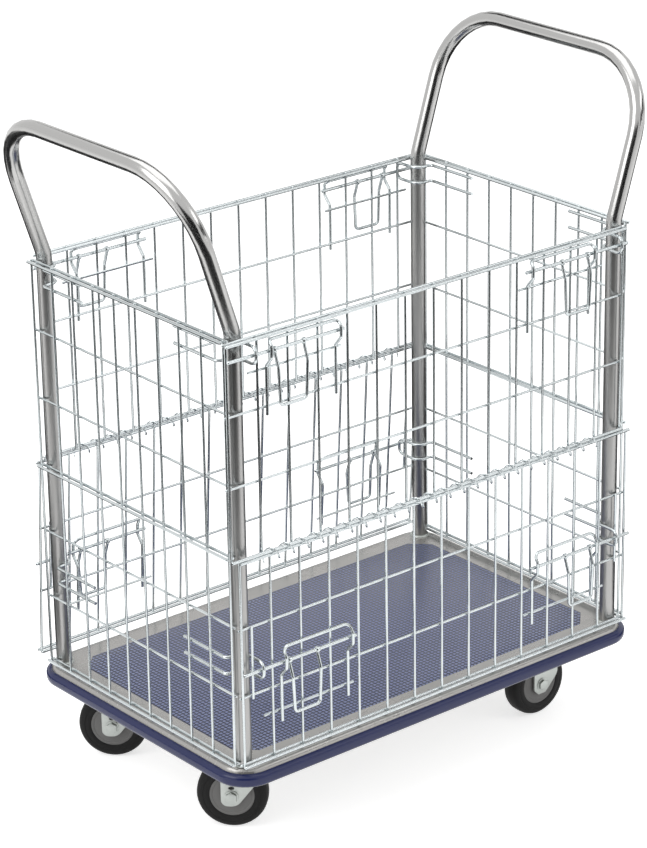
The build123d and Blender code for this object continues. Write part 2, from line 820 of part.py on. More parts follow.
# Bolts and nuts that hold the caster plates to the channels
with BuildPart() as plate_bolts:
    grip = plate_thickness + channel_sheet
    bolt_foot = caster_height - plate_thickness
    for middle_x in (swivel_x, fixed_x):
        for middle_y in (-caster_y, caster_y):
            base = Plane((middle_x, middle_y, 0))
            for height, amount in (
                (bolt_foot - plate_bolt_head_height, plate_bolt_head_height),
                (bolt_foot + grip, plate_bolt_head_height),
            ):
                with BuildSketch(base.offset(height)):
                    with GridLocations(plate_bolt_x, plate_bolt_y, 2, 2):
                        hexagon(plate_bolt_head)
                extrude(amount=amount)
            with BuildSketch(base.offset(bolt_foot)):
                with GridLocations(plate_bolt_x, plate_bolt_y, 2, 2):
                    Circle(plate_bolt / 2)
            extrude(amount=grip)
save(plate_bolts.part, "plate_bolts")
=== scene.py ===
"""Mesh cage trolley: its pieces, finishes, light and camera.

Metres, in the CAD model's own frame: +Z is up, the wheels stand on Z = 0, +X points to
the end with the fixed casters, and the front long side is at -Y.
"""

import math

import bmesh
import bpy
from mathutils import Matrix, Vector


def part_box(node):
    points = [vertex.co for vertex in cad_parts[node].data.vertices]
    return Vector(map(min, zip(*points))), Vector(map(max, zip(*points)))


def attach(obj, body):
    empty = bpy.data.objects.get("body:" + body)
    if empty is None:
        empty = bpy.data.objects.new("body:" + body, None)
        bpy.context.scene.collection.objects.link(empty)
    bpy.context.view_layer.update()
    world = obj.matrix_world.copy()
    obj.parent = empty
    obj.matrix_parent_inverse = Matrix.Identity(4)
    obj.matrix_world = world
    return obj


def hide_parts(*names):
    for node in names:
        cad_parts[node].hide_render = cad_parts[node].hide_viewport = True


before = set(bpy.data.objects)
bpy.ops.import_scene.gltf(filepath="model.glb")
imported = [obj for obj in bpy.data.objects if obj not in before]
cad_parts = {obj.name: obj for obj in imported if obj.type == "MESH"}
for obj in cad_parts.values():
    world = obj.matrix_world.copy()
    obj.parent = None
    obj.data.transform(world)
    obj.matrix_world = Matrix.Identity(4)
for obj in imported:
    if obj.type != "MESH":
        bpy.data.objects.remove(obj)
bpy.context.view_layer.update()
scene = bpy.context.scene

# Deck plate: a pan pressed from one steel sheet, with a rounded edge, a turned-down rim
# and a shallow tray for the mat. It is sprayed silver grey, with the fine orange peel of
# metallic paint and duller patches where loads have slid over it.
deck_low, deck_high = (Vector(corner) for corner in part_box("deck_plate"))
mat_low, mat_high = (Vector(corner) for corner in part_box("deck_mat"))
deck_top = deck_high.z
pan_corner, pan_edge, pan_sheet = 0.040, 0.009, 0.002
mat_cut, mat_recess = 0.027, 0.002
paint_pale, paint_dull = (0.44, 0.43, 0.415), (0.345, 0.337, 0.325)


class Tone:
    """One value in a finish. Arithmetic on it adds Math nodes."""

    def __init__(self, finish, socket):
        self.finish, self.socket = finish, socket

    def maths(self, operation, *values):
        return self.finish.node("Math", {"operation": operation}, dict(enumerate(values)))

    def __add__(self, other):
        return self.maths("ADD", self, other)

    def __sub__(self, other):
        return self.maths("SUBTRACT", self, other)

    def __rsub__(self, other):
        return self.maths("SUBTRACT", other, self)

    def __mul__(self, other):
        return self.maths("MULTIPLY", self, other)

    __radd__, __rmul__ = __add__, __mul__


class Finish:
    """A surface finish: one shader, and the nodes that vary it over the surface."""

    def __init__(self, name, sockets):
        self.material = bpy.data.materials.new(name)
        self.material.use_nodes = True
        self.tree = self.material.node_tree
        self.shader = self.tree.nodes["Principled BSDF"]
        self.feed(sockets)
        self.place = self.node("TexCoord", output="Object")

    def node(self, kind, settings=None, sockets=None, output=0):
        made = self.tree.nodes.new("ShaderNode" + kind)
        for setting, value in (settings or {}).items():
            setattr(made, setting, value)
        for socket, value in (sockets or {}).items():
            self.plug(made.inputs[socket], value)
        return Tone(self, made.outputs[output])

    def plug(self, socket, value):
        if isinstance(value, Tone):
            self.tree.links.new(value.socket, socket)
        else:
            socket.default_value = value

    def feed(self, sockets):
        for socket, value in sockets.items():
            self.plug(self.shader.inputs[socket], value)

    def grain(self, scale, detail=2.0, stretch=(1, 1, 1)):
        """Noise over the surface, drawn out along the axes that are stretched less."""
        spread = self.node("Mapping", None, {"Vector": self.place, "Scale": stretch})
        return self.node("TexNoise", None, {"Vector": spread, "Scale": scale, "Detail": detail})

    def between(self, value, low, high):
        """0 below low, 1 above high."""
        return self.node("MapRange", None, {"Value": value, "From Min": low, "From Max": high})

    def blend(self, share, first, second):
        """A colour that goes from the first to the second with the share."""
        first, second = (c if isinstance(c, Tone) else (*c, 1) for c in (first, second))
        return self.node("Mix", {"data_type": "RGBA"}, {0: share, 6: first, 7: second}, 2)

    def relief(self, height, depth, strength=1.0):
        """Raise the surface by the height, up to the depth in metres."""
        bump = {"Height": height, "Distance": depth, "Strength": strength}
        self.feed({"Normal": self.node("Bump", None, bump)})


def finished(bm, name, finish, body, nodes, crease=35):
    """Make the mesh a piece that rides on its body and stands for its CAD nodes."""
    mesh = bpy.data.meshes.new(name)
    bm.to_mesh(mesh)
    bm.free()
    mesh.shade_smooth()
    mesh.set_sharp_from_angle(angle=math.radians(crease))
    mesh.materials.append(finish.material)
    piece = bpy.data.objects.new(name, mesh)
    scene.collection.objects.link(piece)
    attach(piece, body)
    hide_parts(*nodes)
    return piece


def dress(node, finish):
    """Give a CAD node that stays as it is its finish."""
    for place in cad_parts[node].material_slots:
        place.material = finish.material


def rounded_sheet(bm, low, high, z, corner, segments):
    """A flat rectangle with its corners rounded, or cut when there is one segment."""
    middle, half = (low + high) / 2, (high - low) / 2
    spread = Matrix.Translation((middle.x, middle.y, z)) @ Matrix.Diagonal((half.x, half.y, 1, 1))
    made = bmesh.ops.create_grid(bm, x_segments=1, y_segments=1, size=1, matrix=spread)
    bmesh.ops.bevel(
        bm, geom=made["verts"], offset=corner, offset_type="OFFSET", segments=segments,
        profile=0.5, affect="VERTICES", material=-1,
    )
    return max(bm.faces, key=lambda face: face.calc_area())


def pulled(bm, faces, step):
    """Extrude faces by a step and give back the faces at the far end."""
    made = bmesh.ops.extrude_face_region(bm, geom=faces)["geom"]
    bmesh.ops.translate(bm, vec=step, verts=[v for v in made if isinstance(v, bmesh.types.BMVert)])
    return [face for face in made if isinstance(face, bmesh.types.BMFace)]


def eased(bm, edges, radius, segments=2):
    """Round edges to a radius."""
    bmesh.ops.bevel(
        bm, geom=list(edges), offset=radius, offset_type="OFFSET", segments=segments,
        profile=0.5, affect="EDGES", clamp_overlap=True, material=-1,
    )


paint = Finish("silver_grey_paint", {"Metallic": 0.7, "IOR": 1.5})
rubbed = paint.grain(11, 5)
worn = paint.between(paint.grain(90, 3, (0.25, 1, 1)), 0.58, 0.74)
paint.feed({
    "Base Color": paint.blend(rubbed, paint_pale, paint_dull),
    "Roughness": 0.20 + 0.14 * rubbed + 0.12 * worn,
})
paint.relief(paint.grain(420, 2), 0.0001, 0.35)

pan = bmesh.new()
top = rounded_sheet(pan, deck_low, deck_high, deck_top, pan_corner, 10)
rim = pulled(pan, [top], (0, 0, deck_low.z - deck_top))
bmesh.ops.delete(pan, geom=rim, context="FACES_ONLY")
edge_loop = [e for e in pan.edges if all(v.co.z > deck_top - 1e-6 for v in e.verts)]
eased(pan, edge_loop, pan_edge, 6)
tray = [max(pan.faces, key=lambda face: face.calc_area())]
reaches = (mat_high.x, (mat_high.x + mat_high.y - mat_cut) / math.sqrt(2), mat_high.y)
for side in range(8):
    out = Vector((math.cos(side * math.pi / 4), math.sin(side * math.pi / 4), 0))
    reach = reaches[1] if side % 2 else reaches[side % 4]
    near = {part for face in tray for part in (face, *face.edges, *face.verts)}
    cut = bmesh.ops.bisect_plane(
        pan, geom=list(near), plane_co=out * reach + Vector((0, 0, deck_top)), plane_no=out
    )
    tray = [
        part for part in cut["geom"]
        if isinstance(part, bmesh.types.BMFace) and part.calc_center_median().dot(out) < reach
    ]
pulled(pan, tray, (0, 0, -mat_recess))
bmesh.ops.delete(pan, geom=tray, context="FACES_ONLY")
bmesh.ops.recalc_face_normals(pan, faces=pan.faces[:])
if max(pan.faces, key=lambda face: face.calc_area()).normal.z < 0:
    bmesh.ops.reverse_faces(pan, faces=pan.faces[:])
deck = finished(pan, "deck_pan", paint, "base", ["deck_plate"])
wall = deck.modifiers.new("sheet", "SOLIDIFY")
wall.thickness, wall.offset = pan_sheet, -1

# Mat: a sheet of studded rubber with cut corners, laid in the tray of the deck. Small
# studs stand in rows parallel to its edges, and their tops are polished by use. Over the
# mat's own blue, the grooves between the studs are painted dark as shade and the stud
# tops are painted light as a highlight.
stud_pitch, stud_depth, mat_edge = 0.0065, 0.0009, 0.0008
stud_foot, stud_head = 0.10, 0.22
groove_painted_shade, stud_painted_highlight = (0.006, 0.008, 0.034), (0.225, 0.260, 0.430)

rubber = Finish("studded_mat_rubber", {"IOR": 1.55})
rows = rubber.node("Mapping", None, {"Vector": rubber.place, "Scale": (1 / stud_pitch,) * 3})
row = rubber.node("SeparateXYZ", None, {"Vector": rows}, 0)
line = rubber.node("SeparateXYZ", None, {"Vector": rows}, 1)
stud = row.maths("MINIMUM", row.maths("PINGPONG", row, 0.5), line.maths("PINGPONG", line, 0.5))
stud = rubber.between(stud, stud_foot, stud_head)
handled = rubber.grain(6, 4)
rubber.feed({
    # Painted light: a painted shade in the grooves and a painted highlight on the stud tops.
    "Base Color": rubber.blend(stud * (0.75 + 0.4 * handled), groove_painted_shade, stud_painted_highlight),
    "Roughness": 0.30 - 0.10 * stud + 0.10 * handled,
})
rubber.relief(stud, stud_depth)

slab = bmesh.new()
sheet = rounded_sheet(slab, mat_low, mat_high, mat_low.z, mat_cut, 1)
lid = pulled(slab, [sheet], (0, 0, mat_high.z - mat_low.z))
eased(slab, lid[0].edges, mat_edge, 2)
bmesh.ops.recalc_face_normals(slab, faces=slab.faces[:])
finished(slab, "mat_sheet", rubber, "base", ["deck_mat"])

# Bumper: a strip of glossy navy vinyl, extruded with a rounded face, bent round the rim
# of the pan and heat joined at the back. The face carries fine lines from the die.
bumper_low, bumper_high = (Vector(corner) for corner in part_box("bumper"))
bumper_round = 0.0065
navy, navy_faded = (0.011, 0.016, 0.074), (0.017, 0.024, 0.100)

vinyl = Finish("navy_vinyl", {
    "Specular IOR Level": 0.38, "Coat Weight": 0.05, "Coat Roughness": 0.08,
})
handling = vinyl.grain(16, 4)
vinyl.feed({
    "Base Color": vinyl.blend(handling, navy, navy_faded),
    "Roughness": 0.16 + 0.12 * handling,
})
vinyl.relief(vinyl.grain(6, 1, (1, 1, 140)), 0.0002, 0.25)


def carried(bm, edges, step):
    """Extrude open edges by a step and give back the edges at the far end."""
    made = bmesh.ops.extrude_edge_only(bm, edges=edges)["geom"]
    bmesh.ops.translate(bm, vec=step, verts=[v for v in made if isinstance(v, bmesh.types.BMVert)])
    return [e for e in made if isinstance(e, bmesh.types.BMEdge)]


def turned(bm, edges, centre, axis, angle, steps):
    """Spin open edges round an axis and give back the edges at the far end."""
    made = bmesh.ops.spin(
        bm, geom=edges + list({v for e in edges for v in e.verts}), cent=centre, axis=axis,
        angle=angle, steps=steps,
    )
    return [e for e in made["geom_last"] if isinstance(e, bmesh.types.BMEdge)]


strip = bmesh.new()
start_y = pan_corner - deck_high.y
profile = [strip.verts.new((deck_high.x, start_y, bumper_high.z))]
profile.append(strip.verts.new((bumper_high.x - bumper_round, start_y, bumper_high.z)))
strip.edges.new(profile)
for centre_z, drop in ((bumper_high.z - bumper_round, True), (bumper_low.z + bumper_round, False)):
    arc = bmesh.ops.spin(
        strip, geom=[profile[-1]], cent=(bumper_high.x - bumper_round, start_y, centre_z),
        axis=(0, 1, 0), angle=math.pi / 2, steps=6,
    )
    profile.append([v for v in arc["geom_last"] if isinstance(v, bmesh.types.BMVert)][0])
    if drop:
        profile.append(strip.verts.new((bumper_high.x, start_y, bumper_low.z + bumper_round)))
        strip.edges.new(profile[-2:])
profile.append(strip.verts.new((deck_high.x, start_y, bumper_low.z)))
strip.edges.new(profile[-2:])
strip.edges.new((profile[-1], profile[0]))
ring = strip.edges[:]
for quarter in range(4):
    run = 2 * ((deck_high.x if quarter % 2 else deck_high.y) - pan_corner)
    heading = Matrix.Rotation(quarter * math.pi / 2, 3, "Z") @ Vector((0, 1, 0))
    ring = carried(strip, ring, heading * run)
    centre = Vector((deck_high.x - pan_corner, deck_high.y - pan_corner, 0))
    centre.x *= -1 if quarter in (1, 2) else 1
    centre.y *= -1 if quarter in (2, 3) else 1
    ring = turned(strip, ring, centre, (0, 0, 1), math.pi / 2, 10)
bmesh.ops.remove_doubles(strip, verts=strip.verts[:], dist=1e-5)
bmesh.ops.recalc_face_normals(strip, faces=strip.faces[:])
finished(strip, "bumper_strip", vinyl, "base", ["bumper"])

# Cross channels and post cups: folded and turned steel under the deck, welded to it and
# sprayed in the deck's grey. The channels carry the casters and the cups take the posts.
for node in ("caster_channels", "post_cups"):
    dress(node, paint)

# Handles: each is one length of plated steel tube, bent at the top corners and again where
# it leans outwards. Its feet are the corner posts and stand in the cups. The posts have a
# satin skin, and hands have polished the grips.
post_x, post_y, tube_radius = 0.3375, 0.2075, 0.01106
grip_x, kink_z, grip_z = 0.4065, 0.762, 0.9745
kink_bend, grip_bend, post_foot = 0.045, 0.104, 0.129
polish_low, polish_high, polished = 0.70, 0.82, (0.47, 0.467, 0.46)
satin_dark, satin_pale = (0.36, 0.357, 0.35), (0.44, 0.437, 0.43)
handle_sides = (("left", -1), ("right", 1))

plate_steel = Finish("bright_plated_tube", {"Metallic": 1.0})
cloud = plate_steel.grain(7, 4)
drawn = plate_steel.grain(1, 3, (420, 420, 3))
height = plate_steel.node("SeparateXYZ", None, {"Vector": plate_steel.place}, "Z")
gripped = plate_steel.between(height, polish_low, polish_high)
satin = plate_steel.blend(cloud, satin_dark, satin_pale)
plate_steel.feed({
    "Base Color": plate_steel.blend(gripped, satin, polished),
    "Roughness": 0.24 + 0.06 * cloud + 0.07 * drawn - 0.12 * gripped,
})
plate_steel.relief(drawn, 0.00003, 0.2)


def ring_at(bm, point, heading, radius, sides):
    """An open ring square to a heading, as the end of a wire or tube."""
    turn = heading.to_track_quat("Z", "X").to_matrix().to_4x4()
    made = bmesh.ops.create_circle(
        bm, cap_ends=False, segments=sides, radius=radius, matrix=Matrix.Translation(point) @ turn
    )
    return list({e for v in made["verts"] for e in v.link_edges})


def bent_bar(bm, corners, bends, radius, sides):
    """A tube or wire through the corners, with each inner corner bent to its radius."""
    corners = [Vector(corner) for corner in corners]
    start = corners[0]
    heading = (corners[1] - start).normalized()
    ring = ring_at(bm, start, heading, radius, sides)
    first = ring
    for corner, after, bend in zip(corners[1:], corners[2:], bends):
        onward = (after - corner).normalized()
        angle = heading.angle(onward)
        foot = corner - heading * bend * math.tan(angle / 2)
        ring = carried(bm, ring, foot - start)
        axis = heading.cross(onward).normalized()
        centre = foot + axis.cross(heading) * bend
        ring = turned(bm, ring, centre, axis, angle, max(3, round(angle * 6)))
        start, heading = corner + onward * bend * math.tan(angle / 2), onward
    ring = carried(bm, ring, corners[-1] - start)
    for loop in (first, ring):
        bmesh.ops.contextual_create(bm, geom=loop)


for name, out in handle_sides:
    tube = bmesh.new()
    bent_bar(
        tube,
        [
            (out * post_x, -post_y, post_foot), (out * post_x, -post_y, kink_z),
            (out * grip_x, -post_y, grip_z), (out * grip_x, post_y, grip_z),
            (out * post_x, post_y, kink_z), (out * post_x, post_y, post_foot),
        ],
        [kink_bend, grip_bend, grip_bend, kink_bend], tube_radius, 40,
    )
    bmesh.ops.recalc_face_normals(tube, faces=tube.faces[:])
    finished(tube, f"{name}_tube", plate_steel, "base", [f"{name}_handle"])

# Collars, plugs and bolts: a turned ring sits round each post on the deck, and below it a
# plug in the tube takes the bolt that pulls the post down into its cup.
collar_low, collar_high = (Vector(corner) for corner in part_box("post_collars"))
collar_outer = collar_high.x - post_x
collar_inner, collar_rise = tube_radius + 0.0002, collar_high.z - collar_low.z
collar_profile = (
    (collar_inner, 0), (collar_inner, 0.85), (collar_inner + 0.0008, 1),
    (collar_outer - 0.0015, 0.9), (collar_outer - 0.0004, 0.45), (collar_outer, 0),
)
zinc_pale, zinc_dull = (0.53, 0.555, 0.53), (0.42, 0.445, 0.425)

zinc = Finish("zinc_plate", {"Metallic": 1.0})
bloom = zinc.grain(55, 5)
spangle = zinc.grain(380, 2)
zinc.feed({
    "Base Color": zinc.blend(bloom, zinc_pale, zinc_dull),
    "Roughness": 0.30 + 0.16 * bloom + 0.06 * spangle,
})
zinc.relief(spangle, 0.00004, 0.4)


def lathed(bm, outline, centre, axis, steps):
    """Turn a closed outline of points once round an axis."""
    corners = [bm.verts.new(point) for point in outline]
    section = [bm.edges.new(pair) for pair in zip(corners, corners[1:] + corners[:1])]
    bmesh.ops.spin(
        bm, geom=corners + section, cent=centre, axis=axis, angle=2 * math.pi, steps=steps,
        use_merge=True,
    )


for node in ("post_bolts", "plate_bolts"):
    dress(node, zinc)
dress("post_plugs", plate_steel)
collars = bmesh.new()
for x in (-post_x, post_x):
    for y in (-post_y, post_y):
        outline = [(x + r, y, collar_low.z + rise * collar_rise) for r, rise in collar_profile]
        lathed(collars, outline, (x, y, 0), (0, 0, 1), 36)
bmesh.ops.recalc_face_normals(collars, faces=collars.faces[:])
finished(collars, "collar_rings", zinc, "base", ["post_collars"])

# Fixed end panels: drawn steel wires resistance welded into a mesh and zinc plated. The
# uprights stand between pairs of heavier rails, with single cross wires on the inside.
wire, rail = 0.0018, 0.0023
end_plane, end_pitch, end_reach = 0.35592, 0.0471, 0.21495
end_wires, end_spaces, rails_every = 10, 6, 3
rail_foot, rail_head, wire_past = 0.153, 0.754, 0.003
cross_off, rail_off = 0.00402, 0.00452
weld_deep, weld_wide = 0.0009, 0.0017
wire_pale, wire_dull = (0.68, 0.72, 0.73), (0.54, 0.58, 0.59)

bright_wire = Finish("bright_zinc_wire", {"Metallic": 1.0})
clouded = bright_wire.grain(38, 4)
fleck = bright_wire.grain(900, 2)
bright_wire.feed({
    "Base Color": bright_wire.blend(clouded, wire_pale, wire_dull),
    "Roughness": 0.12 + 0.08 * clouded + 0.06 * fleck,
})
bright_wire.relief(fleck, 0.00003, 0.4)


def cap_edges(made, sides):
    """The edges round both ends of a new cylinder."""
    faces = {face for vert in made["verts"] for face in vert.link_faces}
    return {edge for face in faces if len(face.verts) == sides for edge in face.edges}


def straight_wire(bm, start, end, radius, sides=10):
    """A cut length of wire with its ends lightly rounded by the plating."""
    start, end = Vector(start), Vector(end)
    turn = (end - start).to_track_quat("Z", "X").to_matrix().to_4x4()
    made = bmesh.ops.create_cone(
        bm, cap_ends=True, cap_tris=False, segments=sides, radius1=radius, radius2=radius,
        depth=(end - start).length, matrix=Matrix.Translation((start + end) / 2) @ turn,
    )
    eased(bm, cap_edges(made, sides), radius * 0.35, 1)


def weld(bm, point, size):
    """The small swelling where two crossing wires are welded."""
    spread = Matrix.Translation(point) @ Matrix.Diagonal((*size, 1))
    bmesh.ops.create_icosphere(bm, subdivisions=1, radius=1, matrix=spread)


levels = [
    rail_foot + (rail_head - rail_foot) * k / end_spaces for k in range(end_spaces + 1)
]
for name, out in handle_sides:
    mesh_end = bmesh.new()
    for k in range(end_wires):
        y = (k - (end_wires - 1) / 2) * end_pitch
        straight_wire(
            mesh_end, (out * end_plane, y, rail_foot - wire_past),
            (out * end_plane, y, rail_head + wire_past), wire,
        )
        for level, z in enumerate(levels):
            for hand in (-1,) if level % rails_every else (-1, 1):
                middle = (out * (end_plane + hand * wire), y, z)
                weld(mesh_end, middle, (weld_deep, weld_wide, weld_wide))
    for level, z in enumerate(levels):
        single = level % rails_every
        for off in (-cross_off,) if single else (-rail_off, rail_off):
            x = out * (end_plane + off)
            straight_wire(
                mesh_end, (x, -end_reach, z), (x, end_reach, z), wire if single else rail
            )
    finished(
        mesh_end, f"{name}_end_mesh", bright_wire, "base", [f"{name}_end_panel"],
    )

# Keepers: loops of wire that catch the bolts. Their legs are welded inside the end panel
# and bent round the post, and the closed end stands out through the long side.
loop_wire, hug = 0.0023, 0.01371
keeper_foot, keeper_reach, keeper_half = 0.1025, 0.23842, 0.012
keeper_x, keeper_elbow, keeper_corner = 0.35159, 0.0065, 0.010
latch_heights = {"lower": 0.290, "upper": 0.734}

for name, out in handle_sides:
    loops = bmesh.new()
    for side in (-1, 1):
        for height in latch_heights.values():
            run = [
                (out * keeper_x, side * keeper_foot), (out * keeper_x, side * (post_y - hug)),
                (out * (post_x - hug), side * (post_y - hug)),
                (out * (post_x - hug), side * keeper_reach),
            ]
            loop = [(x, y, height + keeper_half) for x, y in run]
            loop += [(x, y, height - keeper_half) for x, y in reversed(run)]
            bends = [keeper_elbow, hug, keeper_corner]
            bent_bar(loops, loop, bends + bends[::-1], loop_wire, 12)
    bmesh.ops.recalc_face_normals(loops, faces=loops.faces[:])
    finished(loops, f"{name}_keeper_loops", bright_wire, "base", [f"{name}_keepers"])

# Long sides: each is a lower and an upper half of the same welded mesh. A half ends in a
# pair of rails and, at the middle, in the round rod that the spiral hinge holds. The back
# lower half stands a little ajar, with its bolts on the outside of the keepers.
side_plane, rod_off = 0.22592, 0.00452
rod_z = {"lower": 0.45005, "upper": 0.45535}
far_z = {"lower": rail_foot, "upper": rail_head}
side_pitch, side_reach, upper_shift, ajar = 0.050, 0.353, -0.013, math.radians(3.8)
side_wires, half_spaces = 15, 3
stay_out, stay_half, short_x, short_past = 0.235, 0.078, 0.333, 0.004
stay_z = {"lower": 0.215, "upper": 0.707}
long_sides = (("front", -1), ("back", 1))


def on_half(side, half, x, z, stand, plumb=None):
    """A point of a half as it stands: x to the right seen from outside, stand outwards
    from the uprights. A plumb part is measured from the leaning point it hangs on."""
    along = x + (upper_shift if half == "upper" else 0)
    point = Vector((-side * along, side * (side_plane + stand), z))
    if side > 0 and half == "lower":
        rod = Vector((0, side_plane + rod_off, rod_z["lower"]))
        point = rod + Matrix.Rotation(ajar, 3, "X") @ (point - rod)
    if plumb:
        point += Vector((-side * plumb[0], side * plumb[2], plumb[1]))
    return point


for side_name, side in long_sides:
    for half in ("lower", "upper"):
        mesh_half = bmesh.new()
        away = 1 if half == "upper" else -1
        step = (far_z[half] - rod_z[half]) / half_spaces
        crosses = [rod_z[half] + step, rod_z[half] + 2 * step]
        for k in range(side_wires):
            x = (k - side_wires // 2) * side_pitch
            straight_wire(
                mesh_half, on_half(side, half, x, rod_z[half], 0),
                on_half(side, half, x, far_z[half] + away * wire_past, 0), wire,
            )
            for z, stand in (
                (crosses[0], -wire), (crosses[1], -wire), (far_z[half], -wire), (far_z[half], wire),
                (rod_z[half], wire),
            ):
                middle = on_half(side, half, x, z, stand)
                weld(mesh_half, middle, (weld_wide, weld_deep, weld_wide))
        for z, stand, radius in (
            (crosses[0], -cross_off, wire), (crosses[1], -cross_off, wire),
            (far_z[half], -rail_off, rail), (far_z[half], rail_off, rail),
            (rod_z[half], rod_off, rail),
        ):
            straight_wire(
                mesh_half, on_half(side, half, -side_reach, z, stand),
                on_half(side, half, side_reach, z, stand), radius, 14,
            )
        for hand in (-1, 1):
            middle, z = hand * stay_out, stay_z[half]
            straight_wire(
                mesh_half, on_half(side, half, middle - stay_half, z, -cross_off),
                on_half(side, half, middle + stay_half, z, -cross_off), wire,
            )
            if half == "lower":
                straight_wire(
                    mesh_half, on_half(side, half, hand * short_x, crosses[1] - short_past, 0),
                    on_half(side, half, hand * short_x, crosses[0] + short_past, 0), wire,
                )
        finished(
            mesh_half, f"{side_name}_{half}_mesh", bright_wire, f"{side_name}_{half}_half",
            [f"{side_name}_{half}_panel"],
        )

# Staples: wire bows welded to the cross wires of a half. Each is jogged outwards so that
# the bolt slides between its two legs and the mesh.
staple_legs = (0.285, 0.170)
staple_rise = ((-0.090, 0.00031), (-0.022, 0.00031), (-0.008, 0.0122), (0.008, 0.0122))
bar_rise, bar_bend = {"lower": 0.020, "upper": 0.014}, {"lower": 0.0095, "upper": 0.0065}
bar_stand, leg_bend = 0.00433, 0.005

for side_name, side in long_sides:
    for half, height in latch_heights.items():
        bows = bmesh.new()
        for hand in (-1, 1):
            leg = (*staple_rise, (bar_rise[half], bar_stand))
            path = [(staple_legs[0], *point) for point in leg]
            path += [(staple_legs[1], *point) for point in reversed(leg)]
            path = [on_half(side, half, hand * x, height + rise, stand) for x, rise, stand in path]
            bends = [leg_bend] * 3 + [bar_bend[half]] * 2 + [leg_bend] * 3
            bent_bar(bows, path, bends, loop_wire, 12)
        bmesh.ops.recalc_face_normals(bows, faces=bows.faces[:])
        finished(
            bows, f"{side_name}_{half}_bows", bright_wire, f"{side_name}_{half}_half",
            [f"{side_name}_{half}_staples"],
        )

# Bolts and bails: a round bar with chamfered ends slides in the staples, and a wire bail
# with an eye at each end hangs from it as the finger pull.
bolt_tip, bolt_tail, bolt_radius, bolt_stand = 0.353, 0.160, 0.0025, 0.007
bail_sides, bail_taper = (0.276, 0.228), 0.0025
bail_drop, bail_knee, bail_stand, bail_bend = 0.076, 0.024, 0.007, 0.006
eye_inner, eye_outer, eye_half = 0.0026, 0.0043, 0.0025
eye_ease, eye_side = 0.0009, 0.0035
eye_profile = (
    (-eye_half, eye_inner), (-eye_half, eye_side), (-eye_half + eye_ease, eye_outer),
    (eye_half - eye_ease, eye_outer), (eye_half, eye_side), (eye_half, eye_inner),
)

for side_name, side in long_sides:
    for half, height in latch_heights.items():
        for hand, hand_name in ((-1, "left"), (1, "right")):
            latch = f"{side_name}_{half}_{hand_name}"
            bar = bmesh.new()
            straight_wire(
                bar, on_half(side, half, hand * bolt_tip, height, bolt_stand),
                on_half(side, half, hand * bolt_tail, height, bolt_stand), bolt_radius, 16,
            )
            finished(
                bar, f"{latch}_slide", bright_wire, f"{latch}_latch_bolt",
                [f"{latch}_bolt"],
            )

            pull = bmesh.new()
            outer, inner_x = bail_sides
            rise = eye_inner / 2 + eye_outer / 2
            drops = [
                (outer, -rise, 0), (outer, -bail_knee, bail_stand),
                (outer - bail_taper, -bail_drop, bail_stand),
                (inner_x + bail_taper, -bail_drop, bail_stand),
                (inner_x, -bail_knee, bail_stand), (inner_x, -rise, 0),
            ]
            path = [
                on_half(side, half, 0, height, bolt_stand, (hand * x, drop, stand))
                for x, drop, stand in drops
            ]
            bent_bar(pull, path, [bail_bend] * 4, loop_wire, 12)
            for eye_x in bail_sides:
                middle = on_half(side, half, 0, height, bolt_stand, (hand * eye_x, 0, 0))
                outline = [middle + Vector((w, 0, r)) for w, r in eye_profile]
                lathed(pull, outline, middle, (1, 0, 0), 20)
            bmesh.ops.recalc_face_normals(pull, faces=pull.faces[:])
            finished(
                pull, f"{latch}_pull", bright_wire, f"{latch}_latch_bail",
                [f"{latch}_bail"],
            )

# Spiral hinges: spring wire wound in an open spiral and screwed in over both hinge rods.
# It hangs loosely on the upper rod, and the two halves of a long side fold on it.
spiral_radius, spiral_pitch, spiral_turns, spiral_wire = 0.0083, 0.025, 24, 0.0011
spiral_start, spiral_hang, turn_steps = 0.2869, 0.0022, 20

for side_name, side in long_sides:
    coil = bmesh.new()
    hung = (rod_z["lower"] + rod_z["upper"]) / 2 - spiral_hang
    middle = Vector((-side * spiral_start, side * (side_plane + rod_off), hung))
    heading = Vector((side * spiral_pitch / (2 * math.pi * spiral_radius), side, 0)).normalized()
    ring = ring_at(coil, middle - Vector((0, 0, spiral_radius)), heading, spiral_wire, 8)
    wound = bmesh.ops.spin(
        coil, geom=ring + coil.verts[:], cent=middle, axis=(side, 0, 0),
        dvec=(side * spiral_pitch / turn_steps, 0, 0),
        angle=2 * math.pi * spiral_turns, steps=spiral_turns * turn_steps,
    )
    for loop in (ring, [e for e in wound["geom_last"] if isinstance(e, bmesh.types.BMEdge)]):
        bmesh.ops.contextual_create(coil, geom=loop)
    bmesh.ops.recalc_face_normals(coil, faces=coil.faces[:])
    finished(
        coil, f"{side_name}_coil", bright_wire, "base",
        [f"{side_name}_spiral_hinge"],
    )

# Caster plates and king pins: pressed plates bolted under the channels. The swivel plates
# carry a ball race, and the king pin riveted through it holds the fork.
swivel_x, fixed_x, caster_y = -0.264, 0.257, 0.139
for node in ("swivel_plates", "front_left_king_pin", "back_left_king_pin"):
    dress(node, zinc)

